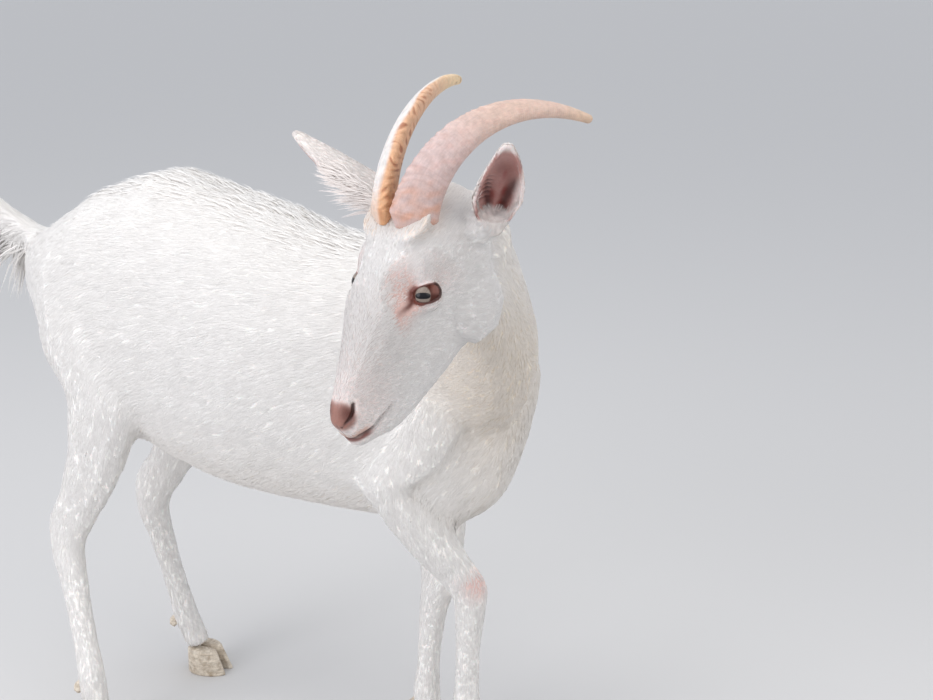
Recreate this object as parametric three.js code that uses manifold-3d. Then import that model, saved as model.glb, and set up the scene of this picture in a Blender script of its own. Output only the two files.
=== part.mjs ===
// A life-size still model of a young white horned dairy goat that stands with its head turned back over its
// right shoulder. Millimetres; X forward along the trunk, Y to the goat's left, Z up, floor at z = 0.
import * as THREE from "three";
import { mergeVertices } from "three/addons/utils/BufferGeometryUtils.js";
import Module from "manifold-3d";

const wasm = await Module();
wasm.setup();

const vec = (x, y, z) => new THREE.Vector3(x, y, z);
const degrees = THREE.MathUtils.degToRad;

// ---------------------------------------------------------------- driving dimensions
const jointGap = 0.35; // clear gap between neighbouring solids
const withersHeight = 656; // floor to the top of the withers
const rumpHeight = 716; // floor to the top of the hips
const bellyHeight = 321; // floor to the lowest line of the chest and belly
const trunkCentre = 505; // height of the widest line of the barrel
const legSides = 10;

// ---------------------------------------------------------------- lofted bodies
// A station of a loft: its centre, half its width, how far it reaches above and below the centre, how square
// its section is (2 is an ellipse), and how much wider it is above than below.
const station = (at, wide, above, below, { square = 2.2, egg = 0 } = {}) => {
  return { at, wide, above, below, square, egg };
};

// A closed body through the stations. upright is the direction of "above". Each end closes in a dome.
function loft(
  stations,
  { sides = 16, perSpan = 2, upright = vec(0, 0, 1), domes = [12, 12], domeRings = 2, grow = 0 } = {},
) {
  const path = new THREE.CatmullRomCurve3(stations.map((s) => s.at));
  const extents = new THREE.CatmullRomCurve3(stations.map((s) => vec(s.wide, s.above, s.below)));
  const manner = new THREE.CatmullRomCurve3(stations.map((s) => vec(s.square, s.egg, 0)));
  const uprights = Array.isArray(upright) ? new THREE.CatmullRomCurve3(upright) : null;
  const spans = (stations.length - 1) * perSpan;
  const rings = [];
  for (let i = -domeRings; i <= spans + domeRings; i++) {
    const t = THREE.MathUtils.clamp(i / spans, 0, 1);
    const past = i < 0 ? -i / domeRings : i > spans ? (i - spans) / domeRings : 0;
    const turn = (past * Math.PI) / 2;
    const along = path.getTangent(t);
    const up = (uprights ? uprights.getPoint(t) : upright.clone()).normalize();
    up.addScaledVector(along, -up.dot(along)).normalize();
    const side = up.clone().cross(along);
    const reach = (i < 0 ? -domes[0] - grow : domes[1] + grow) * Math.sin(turn);
    const centre = path.getPoint(t).addScaledVector(along, past ? reach : 0);
    const size = extents.getPoint(t).multiplyScalar(Math.cos(turn));
    const { x: square, y: egg } = manner.getPoint(t);
    rings.push({ centre, side, up, size, square, egg, pole: past === 1 });
  }
  const positions = [];
  const faces = [];
  const ringStart = [];
  for (const ring of rings) {
    ringStart.push(positions.length / 3);
    if (ring.pole) {
      positions.push(...ring.centre.toArray());
      continue;
    }
    for (let k = 0; k < sides; k++) {
      const a = (2 * Math.PI * k) / sides;
      const bend = (w) => Math.sign(w) * Math.abs(w) ** (2 / ring.square);
      const across = bend(Math.cos(a)) * (ring.size.x + grow) * (1 + ring.egg * Math.sin(a));
      const height = bend(Math.sin(a)) * ((Math.sin(a) > 0 ? ring.size.y : ring.size.z) + grow);
      const point = ring.centre.clone().addScaledVector(ring.side, across).addScaledVector(ring.up, height);
      positions.push(...point.toArray());
    }
  }
  for (let r = 0; r < rings.length - 1; r++) {
    for (let k = 0; k < sides; k++) {
      const next = (k + 1) % sides;
      const [a, b] = [ringStart[r], ringStart[r + 1]];
      if (rings[r].pole) faces.push(a, b + next, b + k);
      else if (rings[r + 1].pole) faces.push(a + k, a + next, b);
      else faces.push(a + k, a + next, b + next, a + k, b + next, b + k);
    }
  }
  const geometry = new THREE.BufferGeometry();
  geometry.setAttribute("position", new THREE.Float32BufferAttribute(positions, 3));
  geometry.setIndex(faces);
  return geometry;
}

// An egg-shaped body: a sphere scaled to three radii, turned and placed.
function ellipsoid(at, radii, { turn = new THREE.Euler(), segments = 8 } = {}) {
  const geometry = new THREE.SphereGeometry(1, segments, Math.round(segments * 0.7));
  geometry.scale(...radii.toArray());
  geometry.applyMatrix4(new THREE.Matrix4().makeRotationFromEuler(turn));
  geometry.translate(...at.toArray());
  return geometry;
}

// ---------------------------------------------------------------- solids from meshes, and back
function solid(geometry) {
  const bare = geometry.clone();
  for (const name of Object.keys(bare.attributes)) if (name !== "position") bare.deleteAttribute(name);
  const merged = mergeVertices(bare, 1e-3);
  const made = new wasm.Manifold(
    new wasm.Mesh({
      numProp: 3,
      vertProperties: merged.attributes.position.array,
      triVerts: new Uint32Array(merged.index.array),
    }),
  );
  return made;
}

function geometryOf(manifold) {
  const mesh = manifold.getMesh();
  const geometry = new THREE.BufferGeometry();
  geometry.setAttribute("position", new THREE.BufferAttribute(mesh.vertProperties, 3));
  geometry.setIndex(new THREE.BufferAttribute(mesh.triVerts, 1));
  return geometry;
}

// The largest piece of a cut solid; slivers that a cut leaves beside it are dropped.
function largest(manifold) {
  return manifold.decompose().sort((a, b) => b.volume() - a.volume())[0];
}

const joined = (...parts) => parts.reduce((a, b) => a.add(b));
const without = (body, ...cutters) => largest(cutters.reduce((a, b) => a.subtract(b), body));

// ---------------------------------------------------------------- finishes
const finish = (color, roughness) => new THREE.MeshStandardMaterial({ color, roughness, metalness: 0 });
const coat = finish(0xf1ede8, 0.9);
const earSkin = finish(0xe9d5cd, 0.85);
const hornKeratin = finish(0xe6c3b0, 0.55);
const hoofKeratin = finish(0xb79a80, 0.6);
const eyeball = finish(0x3a2a22, 0.15);

const goat = new THREE.Group();
function addNode(name, manifold, material) {
  const mesh = new THREE.Mesh(geometryOf(manifold), material);
  mesh.name = name;
  goat.add(mesh);
}

// ---------------------------------------------------------------- trunk
function trunk(grow = 0) {
  // Distance forward of the shoulder, top and bottom heights, height of the widest line, half width.
  const section = (x, top, bottom, middle, wide, square = 2.3) =>
    station(vec(x, 0, middle), wide, top - middle, middle - bottom, { square });
  return solid(
    loft(
      [
        section(-556, rumpHeight - 100, 500, 566, 44, 2.2),
        section(-522, rumpHeight - 80, 466, 566, 74, 2.3),
        section(-462, rumpHeight - 28, 422, 558, 98, 2.4),
        section(-392, rumpHeight, 382, 540, 109, 2.3),
        section(-300, rumpHeight - 19, 340, 520, 119, 2.2),
        section(-215, rumpHeight - 38, bellyHeight, trunkCentre, 127, 2.1),
        section(-130, withersHeight - 2, bellyHeight - 2, trunkCentre - 5, 120, 2.1),
        section(-50, withersHeight - 4, bellyHeight, trunkCentre - 5, 102, 2.2),
        section(10, withersHeight - 20, bellyHeight - 6, trunkCentre - 15, 86, 2.3),
        section(54, withersHeight - 66, bellyHeight - 3, trunkCentre - 24, 68, 2.3),
        section(88, withersHeight - 116, bellyHeight + 22, trunkCentre - 32, 46, 2.2),
      ],
      { sides: 18, perSpan: 2, domes: [22, 20], domeRings: 3, grow },
    ),
  );
}

// ---------------------------------------------------------------- head
// The head's own frame: x from poll to nose, y to its left, z out of the forehead.
const headPlace = new THREE.Matrix4().compose(
  vec(105, -250, 758),
  new THREE.Quaternion().setFromEuler(new THREE.Euler(degrees(-0.9), degrees(46.1), degrees(-106.2), "ZYX")),
  vec(1, 1, 1),
);
const inHead = (geometry) => solid(geometry.clone().applyMatrix4(headPlace));
const headPoint = (x, y, z) => vec(x, y, z).applyMatrix4(headPlace);
const headDirection = (x, y, z) => vec(x, y, z).transformDirection(headPlace);
const leftAndRight = [
  ["left", 1],
  ["right", -1],
];

const eyeRadius = 14.5;
const eyeAt = (side) => vec(89, side * 33, -39.5);

function skull(grow = 0) {
  // Distance from the poll, height of the forehead or nose line, of the jaw line and of the widest line, half
  // width, and how far the muzzle bears to the left.
  const section = (x, top, bottom, middle, wide, { across = 0, square = 2.3, egg = 0 } = {}) =>
    station(vec(x, across, middle), wide, top - middle, middle - bottom, { square, egg });
  return inHead(
    loft(
      [
        section(-8, -20, -102, -54, 36),
        section(12, -6, -120, -50, 42),
        section(40, 4, -138, -50, 47, { egg: 0.03 }),
        section(68, 3, -145, -50, 45, { egg: 0.03, square: 2.4 }),
        section(96, -2, -143, -54, 40, { egg: 0.03, square: 2.5 }),
        section(127, -13, -136, -62, 33, { across: 2, square: 2.5 }),
        section(155, -23, -127, -68, 26, { across: 4, square: 2.5 }),
        section(182, -32, -118, -72, 20, { across: 5, square: 2.5 }),
        section(200, -39, -105, -73, 17, { across: 5, square: 2.4 }),
        section(210, -48, -95, -74, 12.5, { across: 5, square: 2.4 }),
      ],
      { sides: 18, perSpan: 2, domes: [8, 7], domeRings: 3, grow },
    ),
  );
}

function head(grow = 0) {
  const lump = (at, radii, options) => inHead(ellipsoid(at, radii.clone().addScalar(grow), options));
  let body = skull(grow);
  for (const [, side] of leftAndRight) {
    body = joined(
      body,
      lump(vec(86, side * 29.5, -18), vec(26, 13, 13)), // brow ridge
      lump(vec(89, side * 33, -40), vec(21, 12, 17)), // eyelids
      lump(vec(58, side * 32, -98), vec(38, 17, 42)), // cheek muscle
      lump(vec(13, side * 43, -45), vec(18, 14, 17)), // root of the ear
      lump(vec(44, side * 20, 3), vec(24, 17, 15)), // hair round the horn's root
    );
  }
  body = joined(
    body,
    lump(vec(206, 5, -60), vec(10, 13, 14)), // nose pad
    lump(vec(208, 3.5, -83), vec(11, 11, 11.5)), // chin and lower lip
    lump(vec(42, 0, -8), vec(34, 34, 17)), // crown between the horns
  );
  if (grow) return body;
  for (const [, side] of leftAndRight) {
    const slant = new THREE.Euler(0, degrees(35), degrees(side * -40));
    const nostril = ellipsoid(vec(213, 5 + side * 9.5, -61), vec(9, 2.4, 4.5), { turn: slant, segments: 8 });
    body = body.subtract(inHead(nostril));
  }
  return body;
}

function eye(side, grow = 0) {
  return inHead(ellipsoid(eyeAt(side), vec(1, 1, 1).multiplyScalar(eyeRadius + grow), { segments: 12 }));
}

// ---------------------------------------------------------------- horns
const hornLength = 209;
const hornRings = 10;
// A horn's heading turns back over its length from the line of the forehead, and leans out more and more. The
// third number bows the turn at mid length.
const hornTurn = {
  left: { back: [55.7, 159.3, 6.4], lean: [6.8, 24.9, 1.6] },
  right: { back: [54.9, 144.3, 7.4], lean: [6.1, 26, -1.7] },
};
function horn(name, side) {
  const turn = hornTurn[name];
  const bowed = ([from, to, bow], t) => degrees(THREE.MathUtils.lerp(from, to, t) + bow * 4 * t * (1 - t));
  const steps = 2 * hornRings;
  const buried = 14;
  const stations = [];
  const keels = [];
  const point = vec(39.6, side * 18.1, 2.4);
  const heading = (t) => {
    const [back, lean] = [bowed(turn.back, t), bowed(turn.lean, t)];
    return vec(-Math.sin(back) * Math.cos(lean), side * Math.sin(lean), Math.cos(back) * Math.cos(lean));
  };
  for (let i = 0; i <= steps; i++) {
    const t = i / steps;
    const back = bowed(turn.back, t);
    // The keel of the section faces the front and the middle of the head.
    const keel = vec(Math.cos(back), -side, Math.sin(back));
    if (i === 0) {
      const hidden = point.clone().addScaledVector(heading(0), -buried);
      stations.push(station(hidden, 10, 14, 15, { square: 2, egg: -0.18 }));
      keels.push(keel);
    }
    stations.push(hornStation(point.clone(), t));
    keels.push(keel);
    point.addScaledVector(heading(t + 0.5 / steps), hornLength / steps);
  }
  return inHead(loft(stations, { sides: 8, perSpan: 1, upright: keels, domes: [2, 4] }));
}
function hornStation(at, t) {
  const taper = Math.max(1 - t, 0) ** 0.85;
  const ridge = 1 + 0.03 * Math.cos(2 * Math.PI * hornRings * t) * (1 - t);
  const [wide, above, below] = [4 + 7 * taper, 4.1 + 17.6 * taper, 4.1 + 16.6 * taper];
  return station(at, wide * ridge, above * ridge, below * ridge, { square: 2, egg: -0.18 });
}

// ---------------------------------------------------------------- ears
const earLength = 120;
const earThickness = 3.2;
// A leaf-shaped cup along a direction, hollow towards where it opens.
function ear(base, direction, opens, sag, breadth) {
  const leaf = [
    [0, 12, 13],
    [0.15, 16.5, 16],
    [0.32, 21.5, 16],
    [0.5, 20, 14],
    [0.68, 16, 11],
    [0.84, 11, 7],
    [0.95, 6.5, 4.5],
  ];
  const back = opens.clone().multiplyScalar(-1);
  const along = direction.clone().normalize();
  const place = (t) =>
    base
      .clone()
      .addScaledVector(along, earLength * t)
      .addScaledVector(sag, Math.sin(Math.PI * t));
  const outer = solid(
    loft(
      leaf.map(([t, wide, deep]) =>
        station(place(t), wide * breadth, deep, t < 0.2 ? 10 - 30 * t : 4 - 2 * t, { square: 2.1 }),
      ),
      { sides: 12, perSpan: 1, upright: back, domes: [12, 7] },
    ),
  );
  const hollow = solid(
    loft(
      leaf
        .slice(1)
        .map(([t, wide, deep]) =>
          station(place(t), wide * breadth - earThickness, deep - earThickness, 14 + 6 * t, { square: 2.1 }),
        ),
      { sides: 10, perSpan: 1, upright: back, domes: [4, 3] },
    ),
  );
  return outer.subtract(hollow);
}

// ---------------------------------------------------------------- neck
function neck(grow = 0) {
  const forehead = headDirection(0, 0, 1);
  return solid(
    loft(
      [
        station(vec(-40, 0, 530), 60, 92, 96),
        station(vec(18, -14, 536), 64, 84, 104),
        station(vec(68, -52, 560), 56, 70, 88),
        station(vec(98, -108, 612), 49, 64, 70),
        station(vec(111, -165, 668), 45, 53, 58),
        station(headPoint(-4, 0, -58), 41, 28, 38),
        station(headPoint(20, 0, -62), 32, 22, 28),
      ],
      {
        sides: 16,
        perSpan: 2,
        upright: [
          vec(-0.2, 0, 1),
          vec(-0.35, 0, 1),
          vec(-0.6, 0.3, 0.9),
          vec(-0.6, 0.4, 0.8),
          vec(-0.4, 0.2, 0.9),
          forehead,
          forehead,
        ],
        domes: [10, 10],
        grow,
      },
    ),
  );
}

// ---------------------------------------------------------------- legs
// A limb's stations: [joint, half width across, reach to the front, reach to the back].
function limb(stations, grow = 0) {
  return solid(
    loft(
      stations.map(([at, wide, front, rear]) => station(at, wide, front, rear, { square: 2.1 })),
      { sides: legSides, perSpan: 1, upright: vec(1, 0, 0), domes: [10, 4], grow },
    ),
  );
}
const between = (a, b, t) => a.clone().lerp(b, t);

// The shaft from knee or hock down to the hoof: [share of the way, half width, front, rear].
const shaft = (top, fetlock, hoof, widths) => [
  ...widths.map(([t, wide, front, rear]) => [between(top, fetlock, t), wide, front, rear]),
  [fetlock, 18.5, 20, 21],
  [between(fetlock, hoof, 0.3), 17.5, 19, 19],
  [between(fetlock, hoof, 0.55), 19, 18, 18],
];

const foreleg = {
  left: {
    shoulder: vec(20, 66, 500),
    elbow: vec(-30, 70, 392),
    knee: vec(-32, 30, 224),
    fetlock: vec(-46, 36, 80),
    hoof: vec(-38, 38, 0),
  },
  right: {
    shoulder: vec(20, -66, 500),
    elbow: vec(-40, -70, 392),
    knee: vec(32, -6, 248),
    fetlock: vec(22, 6, 92),
    hoof: vec(34, 8, 0),
  },
};
const hindleg = {
  left: {
    hip: vec(-440, 62, 590),
    stifle: vec(-376, 88, 425),
    hock: vec(-477, 66, 254),
    fetlock: vec(-441, 86, 80),
    hoof: vec(-410, 92, 0),
  },
  right: {
    hip: vec(-440, -62, 590),
    stifle: vec(-392, -88, 425),
    hock: vec(-487, -84, 254),
    fetlock: vec(-436, -110, 82),
    hoof: vec(-424, -114, 0),
  },
};

function foreLimb({ shoulder, elbow, knee, fetlock, hoof }, grow = 0) {
  return limb(
    [
      [shoulder, 24, 50, 52],
      [between(shoulder, elbow, 0.55), 27, 50, 48],
      [elbow, 27, 36, 38],
      [between(elbow, knee, 0.4), 28, 34, 35],
      [between(elbow, knee, 0.75), 22, 36, 27],
      [between(elbow, knee, 0.93), 21, 34, 21],
      ...shaft(knee, fetlock, hoof, [
        [0.06, 21, 27, 20],
        [0.24, 18, 19, 19],
        [0.5, 15.5, 16, 16.5],
        [0.78, 15.5, 16, 17],
      ]),
    ],
    grow,
  );
}

function hindLimb({ hip, stifle, hock, fetlock, hoof }, grow = 0) {
  return limb(
    [
      [hip, 30, 70, 82],
      [between(hip, stifle, 0.5), 34, 66, 90],
      [between(hip, stifle, 0.95), 30, 46, 68],
      [between(stifle, hock, 0.4), 25, 46, 40],
      [between(stifle, hock, 0.72), 20, 40, 28],
      [between(stifle, hock, 0.94), 20, 38, 30],
      ...shaft(hock, fetlock, hoof, [
        [0.1, 19, 31, 26],
        [0.28, 16.5, 25, 18],
        [0.55, 15.5, 21, 16.5],
        [0.82, 15.5, 20, 17],
      ]),
    ],
    grow,
  );
}

// ---------------------------------------------------------------- hooves
const hoofHeight = 34;
const hoofLength = 56;
const toeSplay = degrees(6);
// One claw of a cloven hoof: flat below, sloping up to the coronet, its wall straight on the inner side.
function claw(hoof, side, heading) {
  const outline = new THREE.Shape();
  outline.moveTo(-0.42 * hoofLength, 0);
  outline.lineTo(-0.42 * hoofLength, side * 13);
  outline.quadraticCurveTo(-0.3 * hoofLength, side * 22, -0.02 * hoofLength, side * 21.5);
  outline.quadraticCurveTo(0.4 * hoofLength, side * 19, 0.56 * hoofLength, side * 4);
  outline.lineTo(0.5 * hoofLength, 0);
  outline.closePath();
  const wall = { depth: hoofHeight, bevelEnabled: false, curveSegments: 5 };
  const geometry = new THREE.ExtrudeGeometry(outline, wall);
  const position = geometry.attributes.position;
  for (let i = 0; i < position.count; i++) {
    const rise = position.getZ(i) / hoofHeight;
    position.setX(i, position.getX(i) * (1 - 0.26 * rise) - 7 * rise);
    position.setY(i, position.getY(i) * (1 - 0.14 * rise) + side * 0.7);
  }
  geometry.translate(0.42 * hoofLength, 0, 0);
  geometry.rotateZ(side * toeSplay);
  geometry.translate(-0.42 * hoofLength, 0, 0);
  geometry.rotateZ(heading);
  geometry.translate(hoof.x, hoof.y, 0);
  return solid(geometry);
}

// A dew claw: a small blunt cone behind the fetlock.
function dewClaw(fetlock, side) {
  return solid(
    ellipsoid(fetlock.clone().add(vec(-19, side * 10, -14)), vec(7, 6, 11), {
      turn: new THREE.Euler(0, degrees(25), 0),
      segments: 6,
    }),
  );
}

// ---------------------------------------------------------------- tail
function tail() {
  return solid(
    loft(
      [
        station(vec(-520, 0, 600), 17, 20, 26),
        station(vec(-560, -2, 608), 20, 15, 40),
        station(vec(-600, -6, 628), 20, 12, 50),
        station(vec(-635, -10, 655), 18, 10, 46),
        station(vec(-662, -13, 682), 13, 8, 34),
        station(vec(-678, -15, 700), 6, 5, 15),
      ],
      { sides: 10, perSpan: 1, upright: vec(-0.4, 0, 1), domes: [6, 6] },
    ),
  );
}

// ---------------------------------------------------------------- assembly
const trunkClear = trunk(jointGap);
const neckClear = neck(jointGap);
const headClear = head(jointGap);

const earPlaces = {
  left: [
    headPoint(9, 52, -47),
    headDirection(-0.163, 0.552, 0.817),
    headDirection(0.86, 0.48, -0.17),
    headDirection(-0.465, 0.749, -0.471).multiplyScalar(2.5),
    1.0,
  ],
  right: [
    headPoint(14, -46, -43),
    headDirection(-0.107, -0.674, 0.731),
    headDirection(0.5, -0.72, -0.45),
    headDirection(0.83, 0.19, -0.52).multiplyScalar(3.5),
    1.0,
  ],
};
addNode("head", without(head(), ...leftAndRight.map(([, side]) => eye(side, jointGap))), coat);
for (const [name, side] of leftAndRight) {
  addNode("eye_" + name, eye(side), eyeball);
  addNode("horn_" + name, without(horn(name, side), headClear), hornKeratin);
  addNode("ear_" + name, without(ear(...earPlaces[name]), headClear, neckClear), earSkin);
}
addNode("neck", without(neck(), headClear), coat);
addNode("trunk", without(trunk(), neckClear), coat);
addNode("tail", without(tail(), trunkClear), coat);

for (const [name] of leftAndRight) {
  for (const [kind, joints, build] of [
    ["foreleg", foreleg[name], foreLimb],
    ["hindleg", hindleg[name], hindLimb],
  ]) {
    const { hoof, fetlock } = joints;
    const middle = kind === "foreleg" ? joints.knee : joints.hock;
    const leg = kind + "_" + name;
    const ground = new THREE.BoxGeometry(300, 300, 200);
    ground.translate(hoof.x, hoof.y, hoofHeight + jointGap - 100);
    const slab = new THREE.BoxGeometry(160, 110, jointGap).translate(middle.x, middle.y, middle.z - 26);
    const whole = without(build(joints), trunkClear, neckClear, solid(ground));
    const [upper, lower] = whole
      .subtract(solid(slab))
      .decompose()
      .sort((a, b) => b.boundingBox().max[2] - a.boundingBox().max[2]);
    addNode(leg + "_upper", upper, coat);
    addNode(leg + "_lower", lower, coat);
    const heading = Math.atan2(hoof.y - fetlock.y, Math.abs(hoof.x - fetlock.x) + 30);
    const legClear = build(joints, jointGap);
    for (const [clawName, side] of leftAndRight) {
      addNode(leg + "_claw_" + clawName, claw(hoof, side, heading), hoofKeratin);
      addNode(leg + "_dewclaw_" + clawName, without(dewClaw(fetlock, side), legClear), hoofKeratin);
    }
  }
}

// The model stands on z = 0 with the middle of its bounding box over the origin.
const bounds = new THREE.Box3().setFromObject(goat);
const middle = bounds.getCenter(vec(0, 0, 0));
goat.position.set(-middle.x, -middle.y, -bounds.min.z);

export default goat;
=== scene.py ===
"""A young white dairy goat as a life-size museum model: head turned to its right, tail raised, legs in mid-step."""

import math

import bmesh
import bpy
import numpy as np
from mathutils import Euler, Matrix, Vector
from mathutils.bvhtree import BVHTree
from mathutils.kdtree import KDTree


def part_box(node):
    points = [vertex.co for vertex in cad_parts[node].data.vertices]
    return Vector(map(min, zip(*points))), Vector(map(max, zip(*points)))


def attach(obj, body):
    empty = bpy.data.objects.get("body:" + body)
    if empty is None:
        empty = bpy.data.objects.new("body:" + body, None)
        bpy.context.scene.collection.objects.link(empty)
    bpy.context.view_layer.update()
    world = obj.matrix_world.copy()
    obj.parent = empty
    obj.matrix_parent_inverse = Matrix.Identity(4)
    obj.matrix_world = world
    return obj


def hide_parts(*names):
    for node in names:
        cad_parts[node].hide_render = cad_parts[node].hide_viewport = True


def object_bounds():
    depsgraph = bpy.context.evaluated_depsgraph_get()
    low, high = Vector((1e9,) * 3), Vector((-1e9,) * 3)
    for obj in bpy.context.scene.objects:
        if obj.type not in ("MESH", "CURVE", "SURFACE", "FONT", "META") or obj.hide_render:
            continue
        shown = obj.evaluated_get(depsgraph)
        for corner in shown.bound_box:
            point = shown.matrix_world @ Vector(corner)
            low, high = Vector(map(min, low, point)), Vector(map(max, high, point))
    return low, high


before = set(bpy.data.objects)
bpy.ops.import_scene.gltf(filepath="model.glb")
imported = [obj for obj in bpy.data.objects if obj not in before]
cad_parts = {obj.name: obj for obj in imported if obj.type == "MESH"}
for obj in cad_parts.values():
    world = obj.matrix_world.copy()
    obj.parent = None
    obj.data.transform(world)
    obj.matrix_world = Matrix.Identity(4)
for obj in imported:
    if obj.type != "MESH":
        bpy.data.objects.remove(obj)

mm = 0.001
cad_low, cad_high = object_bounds()
both_sides = (("left", 1), ("right", -1))
ears = ["ear_left", "ear_right"]
limbs = [f"{end}leg_{side}" for end in ("fore", "hind") for side in ("left", "right")]
legs = [f"{limb}_{part}" for limb in limbs for part in ("upper", "lower")]
flesh = ["head", "neck", "trunk", "tail", *ears, *legs]


def select_only(*pieces):
    bpy.ops.object.select_all(action="DESELECT")
    for piece in pieces:
        piece.select_set(True)
    bpy.context.view_layer.objects.active = pieces[0]


def join(pieces, name):
    select_only(*pieces)
    bpy.ops.object.join()
    joined = bpy.context.object
    joined.name = joined.data.name = name
    return joined


def edit(piece, *steps):
    """Runs mesh operators on a piece in edit mode, each given as its name and its settings."""
    select_only(piece)
    bpy.ops.object.mode_set(mode="EDIT")
    for name, settings in steps:
        getattr(bpy.ops.mesh, name)(**settings)
    bpy.ops.object.mode_set(mode="OBJECT")


def add_object(name, data):
    made = bpy.data.objects.new(name, data)
    bpy.context.collection.objects.link(made)
    return made


def copy_of(node, grow=0.0):
    """A merged copy of a CAD node, with its surface pushed out a little."""
    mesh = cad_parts[node].data.copy()
    mesh.materials.clear()
    piece = add_object(node + "_copy", mesh)
    shell = bmesh.new()
    shell.from_mesh(mesh)
    bmesh.ops.remove_doubles(shell, verts=shell.verts, dist=0.01 * mm)
    shell.normal_update()
    for v in shell.verts:
        v.co += v.normal * grow
    shell.to_mesh(mesh)
    shell.free()
    return piece


def apply_modifier(piece, kind, **settings):
    select_only(piece)
    modifier = piece.modifiers.new(kind.lower(), kind)
    for key, value in settings.items():
        setattr(modifier, key, value)
    bpy.ops.object.modifier_apply(modifier=modifier.name)


def read(things, name, width, kind=np.float32):
    """A value of every vertex, edge or triangle, as the rows of an array."""
    values = np.empty(len(things) * width, kind)
    things.foreach_get(name, values)
    return values.reshape(-1, width)


def points(piece):
    return read(piece.data.vertices, "co", 3).astype(np.float64)


def set_points(piece, co):
    piece.data.vertices.foreach_set("co", co.astype(np.float32).ravel())
    piece.data.update()


def normals(piece):
    return read(piece.data.vertex_normals, "vector", 3).astype(np.float64)


def edges_of(piece):
    return read(piece.data.edges, "vertices", 2, np.int32)


def spread(field, ends, rounds, weight=1.0):
    """Averages a value per vertex with its neighbours' values, over and over."""
    field = field.astype(np.float64).copy()
    flat = field.ndim == 1
    if flat:
        field = field[:, None]
    count = np.bincount(ends.ravel(), minlength=len(field)).astype(float)[:, None]
    weight = weight[:, None] if isinstance(weight, np.ndarray) else weight
    for _ in range(rounds):
        total = np.empty_like(field)
        for k in range(field.shape[1]):
            total[:, k] = np.bincount(ends[:, 0], field[ends[:, 1], k], len(field))
            total[:, k] += np.bincount(ends[:, 1], field[ends[:, 0], k], len(field))
        field += weight * (total / count - field)
    return field[:, 0] if flat else field


def relax(co, ends, rounds, weight=1.0):
    """Smooths a surface without shrinking it: each inward step is followed by one outward."""
    for _ in range(rounds):
        co = spread(co, ends, 1, 0.5 * weight)
        co = spread(co, ends, 1, -0.51 * weight)
    return co


def unit(v):
    return v / np.maximum(np.linalg.norm(v, axis=-1, keepdims=True), 1e-9)


def norms(v):
    return np.linalg.norm(v, axis=1)


def ease(x, low, high):
    """0 below low, 1 above high, and a smooth step between."""
    t = np.clip((x - low) / (high - low), 0, 1)
    return t * t * (3 - 2 * t)


def bell(x, width, power=2):
    """1 at 0 and 1/e at `width`. A higher power gives a flatter top and steeper sides."""
    return np.exp(-((x / width) ** power))


# The head's own frame: x from poll to nose, y to the goat's left, z out of the forehead, in metres from the poll.
head_turn = np.array(Euler((math.radians(-0.9), math.radians(46.1), math.radians(-106.2))).to_matrix())
eye_centre = {side: np.array(sum(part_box(f"eye_{side}"), Vector()) / 2) for side in ("left", "right")}
eye_radius = (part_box("eye_left")[1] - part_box("eye_left")[0]).z / 2
poll = (eye_centre["left"] + eye_centre["right"]) / 2 - head_turn @ (np.array([89, 0, -39.5]) * mm)


def to_head(co):
    return (co - poll) @ head_turn


def from_head(local):
    return np.asarray(local) @ head_turn.T + poll


# The flesh solids are merged into one closed surface, fine on the head and coarse elsewhere.
overlap = 0.6 * mm
copies = [copy_of(node, overlap) for node in flesh] + [copy_of(f"eye_{side}") for side in eye_centre]
skin = join(copies, "skin")
skin_voxel = 2 * mm
coarse_share = 0.22
apply_modifier(skin, "REMESH", mode="VOXEL", voxel_size=skin_voxel)
co = points(skin)
local = to_head(co)
on_head = (norms(local - [0.1, 0, -0.05]) < 0.16) & (local[:, 0] > -0.03)
reach = norms(local - [0, 0, 0.03])
on_head |= (reach < 0.15) & (np.abs(local[:, 1]) > 0.03) & (local[:, 0] > -0.08) & (local[:, 2] > -0.06)
coarse = skin.vertex_groups.new(name="coarse")
coarse.add(np.nonzero(~on_head)[0].tolist(), 1.0, "REPLACE")
apply_modifier(skin, "DECIMATE", ratio=coarse_share, vertex_group="coarse", vertex_group_factor=1.0)
skin.vertex_groups.clear()
# Small closed pockets are left inside where solids met: only the outer surface is kept.
outermost = np.zeros(len(skin.data.vertices), bool)
outermost[np.argmin(points(skin)[:, 0])] = True
skin.data.vertices.foreach_set("select", outermost)
skin.data.edges.foreach_set("select", np.zeros(len(skin.data.edges), bool))
skin.data.polygons.foreach_set("select", np.zeros(len(skin.data.polygons), bool))
as_points = ("select_mode", {"type": "VERT"})
edit(skin, as_points, ("select_linked", {}), ("select_all", {"action": "INVERT"}), ("delete", {"type": "VERT"}))

# The solid nearest to a point of the skin says which part that point belongs to.
corner_lists, face_lists, owners, first = [], [], [], 0
for index, node in enumerate(flesh):
    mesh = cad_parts[node].data
    corner_lists += [v.co.copy() for v in mesh.vertices]
    face_lists += [[first + v for v in p.vertices] for p in mesh.polygons]
    owners += [index] * len(mesh.polygons)
    first += len(mesh.vertices)
solids = BVHTree.FromPolygons(corner_lists, face_lists)


def parts_at(co):
    return np.array([owners[solids.find_nearest(p)[2]] for p in co.tolist()])


def within(part, *names):
    """Whether each vertex or root belongs to one of the parts named."""
    return np.isin(part, [flesh.index(name) for name in names])


# Fine faces round the eyes, nose and mouth, where the lids and lips are thinner than the rest.
def refine(piece, centre, radius):
    close = norms(points(piece) - centre) < radius
    mesh = piece.data
    ends = edges_of(piece)
    mesh.vertices.foreach_set("select", close)
    mesh.edges.foreach_set("select", close[ends].all(axis=1))
    corners = np.array([close[list(p.vertices)].all() for p in mesh.polygons])
    mesh.polygons.foreach_set("select", corners)
    edit(piece, ("select_mode", {"type": "FACE"}), ("subdivide", {"number_cuts": 1}))


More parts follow.
